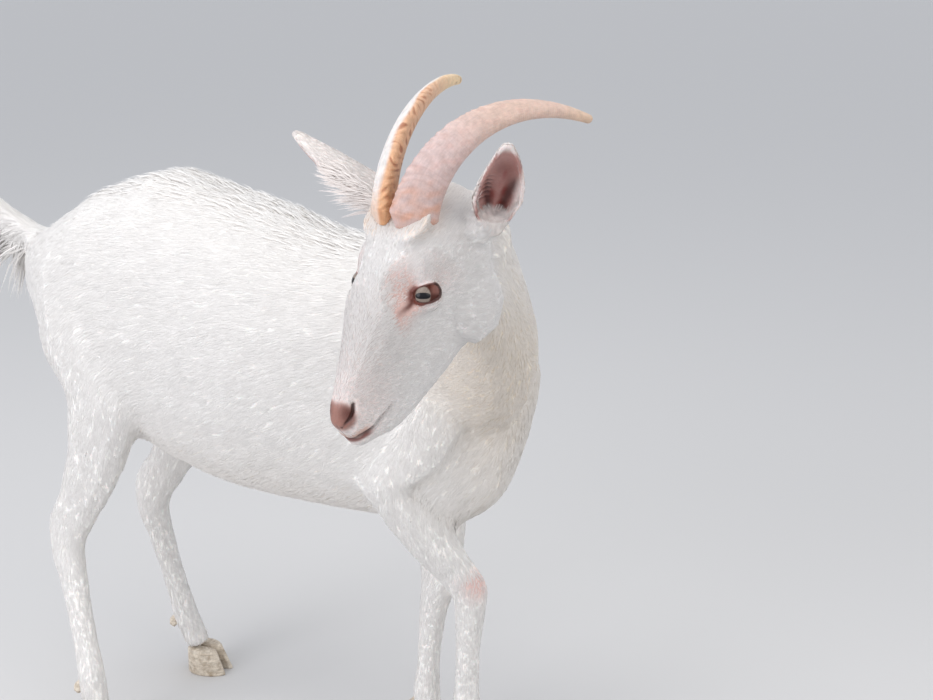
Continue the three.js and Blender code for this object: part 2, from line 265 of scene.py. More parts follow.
co = points(skin)
part = parts_at(co)
is_ear = within(part, *ears)
is_head = within(part, "head")
ends = edges_of(skin)
firm = np.where(is_ear, 0.12, np.where(is_head, 0.6, 1.0))
firm = spread(firm, ends, 4)
co = relax(co, ends, 26, firm)
body = spread(~(is_ear | is_head), ends, 6)
co = spread(co, ends, 16, 0.6 * body)
set_points(skin, co)
muzzle_centre = from_head([0.204, 0.005, -0.072])
for side in eye_centre:
    for radius in (26 * mm, 21 * mm):
        refine(skin, eye_centre[side], radius)
refine(skin, muzzle_centre, 34 * mm)

# The coat's depth over each part, in millimetres.
co = points(skin)
part = parts_at(co)
ends = edges_of(skin)
coat_depth = {"head": 1.8, "neck": 5.0, "trunk": 6.5, "tail": 7.0, "ear": 0.5, "upper": 3.6, "lower": 2.0}


def by_part(table):
    """Rows of a table for the vertices, looked up by a part's name, its kind (ear) or its place (upper, lower)."""
    keys = [[key for key in (name, name.split("_")[0], name.split("_")[-1]) if key in table][0] for name in flesh]
    return np.array([table[key] for key in keys])[part]


depth = by_part(coat_depth) * mm
n = normals(skin)
under_tail = within(part, "tail") * ease(-n[:, 2] - 0.45 * n[:, 0], 0.1, 0.9)
fringe_depth = 22 * mm
depth += under_tail * fringe_depth
local = to_head(co)
bare = ease(-norms(local - np.array([0.212, 0.005, -0.072])), -0.034, -0.02)
depth = spread(depth, ends, 8) * (1 - bare)
co = co - n * depth[:, None]
# The brow is planed down where the horns stand, for the hair that rises against them.
local = to_head(co)
planed_share = 0.75
for side_y in (20, -20):
    from_horn = np.hypot(local[:, 0] - 50 * mm, local[:, 1] - side_y * mm)
    above = np.clip(local[:, 2] - 2 * mm, 0, None) * (local[:, 2] < 0.04)
    local[:, 2] -= planed_share * above * bell(from_horn, 27 * mm, 4)
folded = np.column_stack([local[:, 0], np.abs(local[:, 1]), local[:, 2]])
beside_horn = bell(norms(folded - np.array([52, 26, 4]) * mm), 24 * mm, 4)
co = spread(from_head(local), ends, 16, 0.6 * beside_horn)
tail_loose = spread(within(part, "tail"), ends, 4)
co = spread(co, ends, 10, 0.5 * tail_loose)
set_points(skin, co)

# ---- The face ----
# Bare lids wrap the eyeballs, with a tear groove in front of each. The nose pad, nostrils and lips are bare and
# damp; the mouth is shut. All of it is the same skin, folded.
co = points(skin)
local = to_head(co)
outward = normals(skin) @ head_turn


def muzzle_middle(x):
    """The muzzle bears a little to the left of the head's middle plane."""
    return 5 * mm * ease(x, 0.105, 0.165)


def along_path(p, path):
    """Distance of each point from a path, and how far along the path it is, from 0 to 1."""
    path = np.array(path) * mm
    best = np.full(len(p), 1e9)
    place = np.zeros(len(p))
    for k in range(len(path) - 1):
        a, b = path[k], path[k + 1]
        t = np.clip((p - a) @ (b - a) / ((b - a) @ (b - a)), 0, 1)
        d = norms(p - a - t[:, None] * (b - a))
        nearer = d < best
        best[nearer] = d[nearer]
        place[nearer] = ((k + t) / (len(path) - 1))[nearer]
    return best, place


# Lids: a long opening on the ball, from the tear corner to the outer corner, flatter above than below. The rim
# lies on the ball; a crease runs above the upper lid, and a fainter one below the lower.
lid_half_length = 13.3 * mm
lid_above = 3.7 * mm
lid_below = 9.6 * mm
lid_thickness = 1.4 * mm
lid_turns_in = 3.2 * mm
lid_shift_along = 0.7 * mm
lid_shift_up = 2.7 * mm
lid_reach = 14 * mm
tear_sphere = 20
lid_faces = np.array([0.10, 0.757, 0.646])
lid_line = np.array([-0.704, 0.649, -0.284])
lid_gap = np.full(len(co), 1.0)
lid_height = np.zeros(len(co))
lid_along = np.zeros(len(co))
tear_gap = np.full(len(co), 1.0)
tear_place = np.zeros(len(co))
for side, sign in both_sides:
    mirror = np.array([1, sign, 1])
    out = unit(lid_faces * mirror)
    line = unit(lid_line * mirror - out * (lid_line * mirror @ out))
    rise = unit(np.cross(out, line)) * sign
    offset = local - to_head(eye_centre[side])
    r = norms(offset)
    close = r < 40 * mm
    d = offset[close] / r[close][:, None]
    across = eye_radius * np.arctan2(d @ line, d @ out) - lid_shift_along
    up = eye_radius * np.arcsin(np.clip(d @ rise, -1, 1)) - lid_shift_up
    height = np.where(up > 0, lid_above, lid_below)
    x, y, power = np.abs(across / lid_half_length), np.abs(up / height), 2.2
    turn = np.linspace(0, 2 * math.pi, 97)
    c, s = np.cos(turn), np.sin(turn)
    edge_x = np.sign(c) * np.abs(c) ** (2 / power) * lid_half_length
    edge_y = np.sign(s) * np.abs(s) ** (2 / power) * np.where(s > 0, lid_above, lid_below)
    gap = np.hypot(across[:, None] - edge_x, up[:, None] - edge_y).min(axis=1)
    gap *= np.sign(x**power + y**power - 1)
    old = np.maximum(r[close], eye_radius + 0.8 * mm)
    lid = eye_radius + lid_thickness
    back = ease(gap, 1.4 * mm, 9.5 * mm)
    new = lid * (1 - back) + old * back
    inner = ease(gap, -0.5 * mm, 0.5 * mm)
    new = new * inner + (eye_radius - lid_turns_in) * (1 - inner)
    new -= 1.2 * mm * bell(gap - 5.6 * mm, 1.4 * mm) * ease(up, 0, 3 * mm)
    new -= 0.8 * mm * bell(gap - 4.8 * mm, 1.5 * mm) * ease(-up, 0, 3 * mm)
    keep = gap < lid_reach
    near = np.nonzero(close)[0][keep]
    local[near] = to_head(eye_centre[side]) + d[keep] * new[keep][:, None]
    lid_gap[near] = np.minimum(lid_gap[near], gap[keep])
    lid_height[near] = up[keep]
    lid_along[near] = across[keep]
    # The groove starts at the tear corner. It is laid out by direction from the eye, on a sphere round it.
    a, e = (lid_shift_along - lid_half_length) / eye_radius, lid_shift_up / eye_radius
    tear_corner = math.cos(e) * (math.cos(a) * out + math.sin(a) * line) + math.sin(e) * rise
    groove = [np.array([104, sign * 36.8, -22.6]) * mm, np.array([114, sign * 33.2, -26.8]) * mm]
    groove = [tear_corner] + [unit(p - to_head(eye_centre[side])) for p in groove]
    gap, place = along_path(unit(offset) * tear_sphere * mm, [g * tear_sphere for g in groove])
    gap = np.where(close, gap, 1.0)
    tear_place[gap < tear_gap] = place[gap < tear_gap]
    tear_gap = np.minimum(tear_gap, gap)
depth = 1.9 * mm * bell(tear_gap, 1.9 * mm) * (1 - 0.6 * tear_place) * ease(lid_gap, 0, 0.001)
local -= outward * depth[:, None]

# Nostrils, the cleft of the upper lip, and the line of the mouth.
from_middle = local[:, 1] - muzzle_middle(local[:, 0])
folded = local.copy()
folded[:, 1] = np.abs(from_middle)
nostril_path = [(197.5, 13.4, -46.5), (202, 13.6, -50), (207, 11.9, -52.6), (212, 8.6, -54), (216, 4.5, -57)]
nostril, nostril_place = along_path(folded, nostril_path)
slit = bell(nostril, (2.1 - 1.0 * nostril_place) * mm, 4)
local -= outward * (slit * (3.4 - 1.6 * nostril_place) * mm)[:, None]
wing = bell(nostril - 4.2 * mm, 2 * mm) * ease(np.abs(from_middle), 0.008, 0.014)
local += outward * (wing * 0.9 * mm)[:, None]
cleft, _ = along_path(folded, [(217.5, 0, -56), (219, 0, -72)])
local -= outward * (1.4 * mm * bell(cleft, 1.1 * mm))[:, None]
mouth_path = [(218, 0, -74.5), (216.4, 4.5, -74.3), (213, 11, -72.8), (205.5, 15, -75.5)]
mouth_path += [(195, 17.7, -77), (186, 18.9, -79.2), (177, 20.1, -79.8)]
mouth, mouth_place = along_path(folded, mouth_path)
local -= outward * (2.6 * mm * bell(mouth, 1.3 * mm) * (1 - 0.55 * mouth_place))[:, None]
lips = bell(mouth - 3.2 * mm, 1.8 * mm) * (1 - 0.7 * mouth_place)
local += outward * (lips * 0.9 * mm)[:, None]
co = from_head(local)
soft = bell(mouth, 5 * mm) + bell(tear_gap, 5 * mm) + bell(nostril, 5 * mm)
co = relax(co, ends, 2, np.clip(soft, 0, 1) * 0.5)
set_points(skin, co)

# ---- The ears ----
# Each ear is a leaf of gristle rolled into a cup, which the solid already has. Inside it, long ridges fan out from
# the opening at the root, and short folds cross the front half.
ear_length = 120 * mm
ear_root = {"left": np.array([9, 52, -47]) * mm, "right": np.array([14, -46, -43]) * mm}
ear_points = {"left": unit(np.array([-0.163, 0.552, 0.817])), "right": unit(np.array([-0.107, -0.674, 0.731]))}
ear_opens = {"left": unit(np.array([0.86, 0.48, -0.17])), "right": unit(np.array([0.5, -0.72, -0.45]))}
co = points(skin)
local = to_head(co)
outward = normals(skin) @ head_turn
part = parts_at(co)
ear_inside = np.zeros(len(co))
ear_along = np.zeros(len(co))
ear_across = np.zeros(len(co))
ear_ridge = np.zeros(len(co))
for side, sign in both_sides:
    mine = within(part, f"ear_{side}")
    along, opens = ear_points[side], ear_opens[side]
    opens = unit(opens - along * (opens @ along))
    breadth = np.cross(along, opens) * sign
    offset = local[mine] - ear_root[side]
    t = offset @ along / ear_length
    b = offset @ breadth
    inside = ease(outward[mine] @ opens, 0.1, 0.55) * ease(t, 0.11, 0.16)
    fan = np.arctan2(b - 4 * mm, (t + 0.12) * ear_length)
    long = np.cos(fan * 17 + 0.4) * ease(t, 0.06, 0.16) * ease(-t, -0.66, -0.42)
    long *= 1 - ease(np.abs(b - 4 * mm), 0.011, 0.016)
    folds = np.cos((t * ear_length + 0.5 * b) / (1.15 * mm)) * ease(-b, 0.001, 0.006)
    ridge = long + 0.45 * folds * ease(t, 0.2, 0.26) * ease(-t, -0.62, -0.5)
    local[mine] += opens * (1.6 * mm * ridge * inside)[:, None]
    ear_inside[mine], ear_along[mine], ear_across[mine], ear_ridge[mine] = inside, t, b, ridge
set_points(skin, from_head(local))

# ---- Skin colours ----
# White goat: pink skin shows through thin hair round the eyes and muzzle, brown-pink on the bare nose pad, lips and
# lid rims, and deep pink inside the ears. Hair is stained tan at the horns' roots.


def paint(code):
    """An sRGB hex colour as linear light."""
    values = [int(code[k : k + 2], 16) / 255 for k in (1, 3, 5)]
    return np.array([v / 12.92 if v <= 0.04045 else ((v + 0.055) / 1.055) ** 2.4 for v in values])


def over(base, *layers):
    """Lays colours over others, one after another, each by an amount per vertex."""
    for code, amount in layers:
        base = base + (paint(code) - base) * np.clip(amount, 0, 1)[:, None]
    return base


def blob(p, centre, radius, power=2.0):
    return bell(norms(p - np.array(centre) * mm), radius * mm, power)


co = points(skin)
part = parts_at(co)
local = to_head(co)
n = normals(skin)
count = len(co)
on = {name: spread(within(part, name), ends, 8) for name in ("head", "neck", "trunk", "tail")}
tone = np.tile(paint("#F3EFEA"), (count, 1))
tone = over(
    tone,
    ("#DEDAD8", on["head"] * 0.9),
    ("#B9B0AC", blob(local, (150, 0, -20), 52, 4) * 0.75),
    # Warm cream where the skin of the trunk and neck faces down: painted warm shade on the underside.
    ("#EFE4D6", ease(-n[:, 2], 0.1, 0.9) * (on["trunk"] + on["neck"]) * 0.6),
)
# A yellowish tint over the neck and the front of the chest: partly the coat's own tint and partly painted shade
# under the jaw. It fades high on the neck.
warm_tint_and_shade = spread(on["neck"] + on["trunk"] * ease(co[:, 0], cad_high.x - 0.22, cad_high.x - 0.06), ends, 40)
warm_tint_and_shade *= 1 - 0.65 * ease(co[:, 2], 0.58, 0.70)
tone = over(tone, ("#DFCFBA", warm_tint_and_shade * 0.8))
folded = local.copy()
folded[:, 1] = np.abs(local[:, 1] - muzzle_middle(local[:, 0]))
pad = blob(folded, (210, 4, -50), 13.4, 9)
tone = over(
    tone,
    ("#DECBC6", blob(folded, (195, 5, -55), 34, 3) * 0.7),
    ("#9C6F63", pad),
    ("#5E332B", pad * blob(folded, (204, 11, -50), 9, 2.5)),
)
lip = bell(mouth, 6.5 * mm, 6) * (1 - ease(mouth_place, 0.45, 0.62))
below = ease(-(local[:, 2] + 0.0745), -0.0006, 0.0008)
tone = over(
    tone,
    ("#BC998B", lip * (1 - below) * 0.85),
    ("#7E483F", lip * below * 0.95),
    # The dark mouth line, nostril slits and cleft of the lip are painted shade in these grooves and openings.
    ("#3C231E", bell(mouth, 2.0 * mm) * (1 - 0.35 * mouth_place)),
    ("#43201A", bell(nostril, (2.2 - 0.9 * nostril_place) * mm, 4)),
    ("#6B453E", bell(cleft, 1.3 * mm) * 0.8),
)
bare = np.maximum.reduce([pad, lip, bell(nostril, 4 * mm, 4), bell(cleft, 3 * mm, 4)])
eye_halo = bell(np.clip(lid_gap, 0, None), 9 * mm)
toward_nose = ease(-lid_along, 0.004, 0.011)
toward_ear = ease(lid_along, 0.006, 0.0115)
under = ease(-lid_height, 0.0, 0.003)
tone = over(
    tone,
    ("#D3B0A6", bell(tear_gap, 9 * mm) * 0.85),
    ("#CDB9B6", eye_halo * 0.6),
    ("#C29A8E", eye_halo * toward_nose * 0.8),
    ("#A8958A", bell(np.clip(lid_gap, 0, None), 6 * mm) * toward_ear * 0.6),
)
rim_width = 0.9 + 1.2 * under + 1.1 * toward_ear + 2.0 * toward_nose
rim = 1 - ease(lid_gap, rim_width * 0.65 * mm, rim_width * 1.3 * mm)
rim_tone = np.tile(paint("#8A5F58"), (count, 1))
rim_tone = over(rim_tone, ("#55291F", under), ("#3F2820", toward_ear), ("#6A3226", toward_nose))
tone = tone * (1 - rim[:, None]) + rim_tone * rim[:, None]
tone = over(
    tone,
    ("#3A150E", (1 - ease(lid_gap, 0.2 * mm, 1.1 * mm)) * (0.35 + 0.65 * under)),
    ("#5A2618", bell(tear_gap, (3.6 - 1.4 * tear_place) * mm)),
)
bare = np.maximum.reduce([bare, rim, bell(tear_gap, 4.0 * mm)])
inside = tone * 0 + paint("#B0827B")
# The middle of the ear's cup is darker: painted shade in the hollow.
hollow = ease(-np.abs(ear_across - 4 * mm), -0.013, -0.003)
hollow *= ease(ear_along, 0.1, 0.2) * ease(-ear_along, -0.85, -0.62)
inside = over(inside, ("#7E443D", hollow * 0.8))
red = np.zeros(count)
for t, b, long, wide in (
    (0.31, 10, 0.075, 4.2),
    (0.28, 0, 0.06, 4.2),
    (0.54, 5, 0.075, 1.8),
    (0.16, 8, 0.05, 5.0),
    (0.42, 3, 0.06, 2.2),
):
    red = np.maximum(red, bell(np.hypot((ear_along - t) / long, (ear_across - b * mm) / (wide * mm)), 1, 3))
inside = over(
    inside,
    ("#7A2015", red),
    # Grooves between the ear's ridges are painted dark as shade, and the ridge tops painted light as highlight.
    ("#451512", np.clip(-ear_ridge, 0, 1) * 0.9),
    ("#C99D96", np.clip(ear_ridge, 0, 1) * 0.4),
    ("#ECE0DC", ease(np.abs(ear_across), 0.014, 0.019) + ease(ear_along, 0.86, 0.95)),
)
on_ear = within(part, *ears)
tone = over(tone, ("#E9DAD5", on_ear * 0.4))
tone = tone * (1 - ear_inside[:, None]) + inside * ear_inside[:, None]
bare = np.maximum(bare, ear_inside)
horn_root = {"left": (39.6, 18.1, 2.4), "right": (39.6, -18.1, 2.4)}
for side in horn_root:
    tone = over(tone, ("#DDB083", blob(local, horn_root[side], 23, 4) * (0.4 if side == "left" else 0.7)))
bare_knee = np.array([0.286, 0.092, 0.268])
callus = bell(norms(co - bare_knee), 20 * mm, 3)
tone = over(tone, ("#D8A89E", callus * 0.75))


def node(tree, kind, links=None, **settings):
    """Adds a shader node, sets its properties and input values (a colour as hex), and links its inputs, each to a
    socket or to the first output of a node."""
    made = tree.nodes.new("ShaderNode" + kind)
    for key, value in settings.items():
        if hasattr(made, key):
            setattr(made, key, value)
        else:
            value = (*paint(value), 1) if isinstance(value, str) else value
            made.inputs[key.replace("_", " ")].default_value = value
    for key, source in (links or {}).items():
        socket = source if isinstance(source, bpy.types.NodeSocket) else source.outputs[0]
        tree.links.new(socket, made.inputs[key])
    return made


def material(name):
    made = bpy.data.materials.new(name)
    made.use_nodes = True
    made.node_tree.nodes.clear()
    return made, made.node_tree


def tinted(tree, colour, pattern, low, high, dim, bright):
    """A colour times a pattern, whose values from low to high count as dim to bright."""
    factor = node(tree, "MapRange", {"Value": pattern}, From_Min=low, From_Max=high, To_Min=dim, To_Max=bright)
    return node(tree, "VectorMath", {0: colour, 1: factor}, operation="MULTIPLY")


def keep_colour(piece, name, values):
    layer = piece.data.color_attributes.new(name, "FLOAT_COLOR", "POINT")
    layer.data.foreach_set("color", np.column_stack([values, np.ones(len(values))]).astype(np.float32).ravel())


def keep_vector(piece, name, values):
    layer = piece.data.attributes.new(name, "FLOAT_VECTOR", "POINT")
    layer.data.foreach_set("vector", values.astype(np.float32).ravel())


def keep_value(piece, name, values):
    layer = piece.data.attributes.new(name, "FLOAT", "POINT")
    layer.data.foreach_set("value", values.astype(np.float32))


keep_colour(skin, "Tone", tone)
keep_value(skin, "Bare", bare)
hide, tree = material("goat_skin_under_short_hair")
where = node(tree, "TexCoord")
colour = node(tree, "Attribute", attribute_name="Tone")
naked = node(tree, "Attribute", attribute_name="Bare")
speck = node(tree, "TexNoise", {"Vector": where.outputs["Object"]}, Scale=420.0, Detail=3.0)
speckled = tinted(tree, colour, speck, 0.3, 0.7, 0.9, 1.05)
pores = node(tree, "TexVoronoi", {"Vector": where.outputs["Object"]}, Scale=900.0)
bump = node(tree, "Bump", {"Height": pores}, Strength=0.25, Distance=0.0006)
gloss = node(tree, "MapRange", {"Value": naked.outputs["Fac"]}, To_Min=0.8, To_Max=0.42)
shader = node(
    tree,
    "BsdfPrincipled",
    {"Base Color": speckled, "Roughness": gloss, "Normal": bump},
    Subsurface_Weight=0.12,
    Subsurface_Radius=(1.0, 0.35, 0.25),
    Subsurface_Scale=0.004,
)
node(tree, "OutputMaterial", {"Surface": shader})
skin.data.materials.append(hide)
skin.data.shade_smooth()
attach(skin, "root")
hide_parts(*flesh)

# ---- The eyes ----
# Wet balls with a clear bulging front. A goat's iris is pale straw with a level bar for a pupil, and what shows
# beside it is brown. They sit behind the lids, and look out to the side.
cornea_rise = 1.3 * mm
cornea_reach = 9.2 * mm
eye_level = np.array([-0.465, 0.750, -0.472])
eye_looks = np.array([0.382, 0.598, 0.709])
wet_eye, tree = material("wet_eyeball_with_straw_iris")
seen = node(tree, "Attribute", attribute_name="Gaze")
apart = node(tree, "SeparateXYZ", {0: seen.outputs["Vector"]})
oval = node(tree, "Mapping", {"Vector": seen.outputs["Vector"]}, Scale=(1.1, 0.84, 1.0))
span = node(tree, "VectorMath", {0: oval}, operation="LENGTH")
# The pupil: a rounded bar, given by the sum of two powers.
bar = []
for axis, half, power in (("X", 6.0, 3.2), ("Y", 2.3, 2.2)):
    size = node(tree, "Math", {0: apart.outputs[axis]}, operation="ABSOLUTE")
    for operation, number in (("DIVIDE", half), ("POWER", power)):
        size = node(tree, "Math", {0: size}, operation=operation)
        size.inputs[1].default_value = number
    bar.append(size)
bar = node(tree, "Math", {0: bar[0], 1: bar[1]}, operation="ADD")
pupil = node(tree, "MapRange", {"Value": bar}, From_Min=0.95, From_Max=1.4, To_Min=1.0, To_Max=0.0)
# Iris fibres run outwards: noise read along the direction from the middle.
spoke = node(tree, "VectorMath", {0: seen.outputs["Vector"]}, operation="NORMALIZE")
fibre = node(tree, "TexNoise", {"Vector": spoke}, Scale=14.0, Detail=4.0, Roughness=0.7)
shown = node(tree, "Mix", {"Factor": fibre}, data_type="RGBA", A="#483C34", B="#AB9D92")
ring = node(tree, "MapRange", {"Value": span.outputs["Value"]}, From_Min=6.3, From_Max=7.6)
# Over the iris lie its brown rim, pink folded lining in the upper part of the outer corner, and the pupil.
fold_x = node(tree, "MapRange", {"Value": apart.outputs["X"]}, From_Min=6.0, From_Max=9.4)
fold_y = node(tree, "MapRange", {"Value": apart.outputs["Y"]}, From_Min=0.2, From_Max=3.4)
fold = node(tree, "Math", {0: fold_x, 1: fold_y}, operation="MULTIPLY")
for factor, code in ((ring, "#4A241B"), (fold, "#744A40"), (pupil, "#131216")):
    links = {"Factor": factor, "A": shown.outputs["Result"]}
    shown = node(tree, "Mix", links, data_type="RGBA", B=code)
shader = node(
    tree,
    "BsdfPrincipled",
    {"Base Color": shown.outputs["Result"]},
    Roughness=0.3,
    IOR=1.38,
    Specular_IOR_Level=0.2,
    Coat_Weight=0.4,
    Coat_Roughness=0.03,
    Coat_IOR=1.38,
)
node(tree, "OutputMaterial", {"Surface": shader})
for side, sign in both_sides:
    bpy.ops.mesh.primitive_uv_sphere_add(segments=72, ring_count=48, radius=eye_radius)
    ball = bpy.context.object
    ball.name = ball.data.name = f"eyeball_{side}"
    mirror = np.array([1, sign, 1])
    look = unit(eye_looks * mirror)
    level = unit(eye_level * mirror - look * (eye_level * mirror @ look))
    upright = unit(np.cross(look, level)) * sign
    way = unit(points(ball))
    gaze = np.column_stack([way @ level, way @ upright, way @ look])
    off = eye_radius * np.arccos(np.clip(gaze[:, 2], -1, 1))
    bulge = cornea_rise * np.clip(1 - (off / cornea_reach) ** 2, 0, 1) ** 1.4
    set_points(ball, eye_centre[side] + (way @ head_turn.T) * (eye_radius + bulge)[:, None])
    flatwise = unit(gaze[:, :2] + 1e-9) * off[:, None] / mm
    keep_vector(ball, "Gaze", np.column_stack([flatwise, off * 0]))
    ball.data.materials.append(wet_eye)
    ball.data.shade_smooth()
    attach(ball, "root")
    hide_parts(f"eye_{side}")

# ---- The horns ----
# Hollow keratin sheaths on bone cores, ringed by yearly and seasonal growth, strongest on the front keel. They are
# grown from the skull, so each starts under the skin and runs out through a collar of hair.
horn_length = 209 * mm
horn_rings = 26
horn_turn = {
    "left": {"back": (55.7, 159.3, 6.4), "lean": (6.8, 24.9, 1.6)},
    "right": {"back": (54.9, 144.3, 7.4), "lean": (6.1, 26, -1.7)},
}


def mix(a, b, t):
    return a + (b - a) * t


def ripple(p, size, seed, waves=9):
    """A smooth random swell over space, from -1 to 1, whose humps are about `size` apart."""
    draw = np.random.default_rng(seed)
    way = unit(draw.normal(size=(waves, p.shape[1]))) * draw.uniform(0.7, 1.4, (waves, 1)) * 2 * math.pi / size
    return np.clip(np.sin(p @ way.T + draw.uniform(0, 6.28, waves)).sum(axis=1) / math.sqrt(waves / 2) / 2, -1, 1)


def heading_at(t, side, sign):
    """Which way the horn grows at t, and where its keel faces, in the head's frame."""
    back, lean = (np.radians(mix(*turn[:2], t) + turn[2] * 4 * t * (1 - t)) for turn in horn_turn[side].values())
    way = np.column_stack([-np.sin(back) * np.cos(lean), sign * np.sin(lean), np.cos(back) * np.cos(lean)])
    return way, np.column_stack([np.cos(back), 0 * back - sign, np.sin(back)])


keratin, tree = material("ringed_horn_keratin")
where = node(tree, "TexCoord")
colour = node(tree, "Attribute", attribute_name="Tone")
wrap = node(tree, "Attribute", attribute_name="Wrap")
stretch = node(tree, "Mapping", {"Vector": wrap.outputs["Vector"]}, Scale=(180.0, 900.0, 1.0))
grain = node(tree, "TexNoise", {"Vector": stretch}, Scale=1.0, Detail=5.0, Roughness=0.6)
stain = node(tree, "TexNoise", {"Vector": where.outputs["Object"]}, Scale=160.0, Detail=4.0, Roughness=0.65)
grained = tinted(tree, colour, grain, 0.3, 0.7, 0.88, 1.06)
blotched = tinted(tree, grained, stain, 0.35, 0.7, 1.04, 0.84)
bump = node(tree, "Bump", {"Height": grain}, Strength=0.35, Distance=0.0008)
shader = node(
    tree,
    "BsdfPrincipled",
    {"Base Color": blotched, "Normal": bump},
    Roughness=0.5,
    IOR=1.55,
    Subsurface_Weight=0.15,
    Subsurface_Radius=(1.0, 0.6, 0.4),
    Subsurface_Scale=0.004,
)
node(tree, "OutputMaterial", {"Surface": shader})

horn_axis = {}
for side, sign in both_sides:
    rings_along, sides = 430, 56
    t = np.linspace(0, 1, rings_along)
    way, _ = heading_at(t, side, sign)
    spine = np.vstack([np.zeros(3), np.cumsum((way[1:] + way[:-1]) / 2, axis=0)]) * horn_length / (rings_along - 1)
    spine += np.array(horn_root[side]) * mm
    horn_axis[side] = spine
    heading, front = heading_at(t, side, sign)
    # A short root under the skin, narrower than the horn, and a rounded tip.
    root = np.linspace(-1, 0, 10)[:-1]
    tip = np.linspace(0, 1, 9)[1:]
    below = spine[0] + heading[0] * root[:, None] * 12 * mm
    beyond = spine[-1] + heading[-1] * np.sin(tip * math.pi / 2)[:, None] * 3.6 * mm
    centre = np.vstack([below, spine, beyond])
    heading = np.vstack([np.repeat(heading[:1], len(root), 0), heading, np.repeat(heading[-1:], len(tip), 0)])
    front = np.vstack([np.repeat(front[:1], len(root), 0), front, np.repeat(front[-1:], len(tip), 0)])
    girth = np.concatenate([1 + 0.35 * root, np.ones(rings_along), np.maximum(np.cos(tip * math.pi / 2), 0.02)])
    t = np.concatenate([np.zeros(len(root)), t, np.ones(len(tip))])
    front = unit(front - heading * (front * heading).sum(1)[:, None])
    across = np.cross(front, heading)
    a = np.linspace(0, 2 * math.pi, sides, endpoint=False)
    taper = np.maximum(1 - t, 0) ** 0.85
    wide = (3.9 + 7 * taper) * mm
    ahead = (4.0 + 17.4 * taper) * mm
    behind = (4.0 + 16.4 * taper) * mm
    T, A = np.meshgrid(t, a, indexing="ij")
    keel = np.clip(np.sin(A), 0, 1) ** 3
    around_horn = np.column_stack([T.ravel() * 9, np.cos(A).ravel() * 0.8, np.sin(A).ravel() * 0.8])
    wobble = ripple(around_horn, 1.6, 11 + sign).reshape(T.shape)
    phase = 2 * math.pi * (horn_rings * T**0.92 + 0.8 * wobble)
    wave = np.cos(phase) + 0.35 * np.cos(2 * phase + 0.8)
    growth = (0.10 + 0.42 * keel) * (1 - 0.8 * T) * wave * (1.1 if side == "right" else 0.8) * (0.75 + 0.5 * wobble)
    fine = 0.07 * np.cos(2 * math.pi * 95 * T + 1.5 * wobble)
    lumps = ripple(np.column_stack([T.ravel() * 40, A.ravel() * 0.6]), 2.2, 21 + sign).reshape(T.shape)
    knobs = 0.45 * keel * np.clip(lumps, 0, 1) * (1 - T)
    raised = (growth + fine + knobs) * mm
    x = np.cos(A) * (wide[:, None] + raised) * (1 - 0.18 * np.sin(A)) * girth[:, None]
    y = np.sin(A) * (np.where(np.sin(A) > 0, ahead[:, None], behind[:, None]) + raised) * girth[:, None]
    rings = centre[:, None] + across[:, None] * x[..., None] + front[:, None] * y[..., None]
    flat = rings.reshape(-1, 3)
    total = len(t)
    k = np.arange(sides)
    r = np.arange(total - 1)[:, None] * sides
    quads = np.stack([r + k, r + (k + 1) % sides, r + sides + (k + 1) % sides, r + sides + k], -1).reshape(-1, 4)
    mesh = bpy.data.meshes.new(f"horn_{side}_sheath")
    caps = [list(range(sides))[::-1], list(range((total - 1) * sides, total * sides))]
    mesh.from_pydata(from_head(flat).tolist(), [], quads.tolist() + caps)
    horn = add_object(mesh.name, mesh)
    edit(horn, ("select_all", {"action": "SELECT"}), ("normals_make_consistent", {"inside": False}))
    # Colours: pink-cream on the left one; the right one is chalky in front and stained orange towards the middle.
    radial = unit(across[:, None] * np.cos(A)[..., None] + front[:, None] * np.sin(A)[..., None]).reshape(-1, 3)
    tt, aa, ww = T.ravel(), A.ravel(), wobble.ravel()
    dent = -wave.ravel()
    spots = ripple(flat, 11 * mm, 31 + sign)
    if side == "left":
        hue = np.tile(paint("#DFC9C8"), (len(flat), 1))
        hue = over(
            hue,
            ("#EACFC2", ease(tt, 0.25, 0.6)),
            ("#EBCFAF", ease(tt, 0.82, 1.0) * 0.6),
            ("#CFA79F", ease(spots, 0.1, 0.9) * 0.4 * (1 - 0.5 * tt)),
            # The ring grooves are painted darker: painted shade in the grooves.
            ("#BD958C", ease(dent, 0.2, 1.2) * 0.25 * (1 - tt)),
            ("#DDA17E", (1 - ease(tt, 0.02, 0.2)) * 0.55 * np.clip(0.6 + 0.5 * spots, 0, 1)),
        )
    else:
        inward = radial @ unit(np.array([-0.1, 0.98, 0.1]))
        hue = np.tile(paint("#E4DFDB"), (len(flat), 1))
        orange = ease(inward + 0.2 * ww, 0.1, 0.6)
        hue = over(hue, ("#D9A273", orange * (0.95 - 0.3 * tt)))
        # Deeper orange in blotches and in the ring grooves: partly stain, partly painted shade in the grooves.
        mottle = ease(0.75 * dent + 0.9 * spots, 0.25, 1.2) * (1 - ease(tt, 0.4, 0.8))
        hue = over(
            hue,
            ("#9A5833", orange * mottle * 0.85),
            ("#EDD5A8", ease(tt, 0.55, 0.95) * 0.75),
            ("#8C5B34", ease(tt, 0.86, 0.93) * ease(inward, 0.3, 0.8) * ease(spots, 0.0, 0.5) * 0.7),
            ("#DDA577", (1 - ease(tt, 0.0, 0.12)) * 0.5),
        )
    hue *= (1 + 0.05 * spots + 0.03 * ww)[:, None] * ([0.82, 0.79, 0.76] if side == "left" else [1, 1, 1])
    keep_colour(horn, "Tone", np.clip(hue, 0, 1))
    keep_vector(horn, "Wrap", np.column_stack([tt * horn_length, aa * 12 * mm, tt * 0]))
    mesh.materials.append(keratin)
    mesh.shade_smooth()
    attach(horn, "root")
    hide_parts(f"horn_{side}")

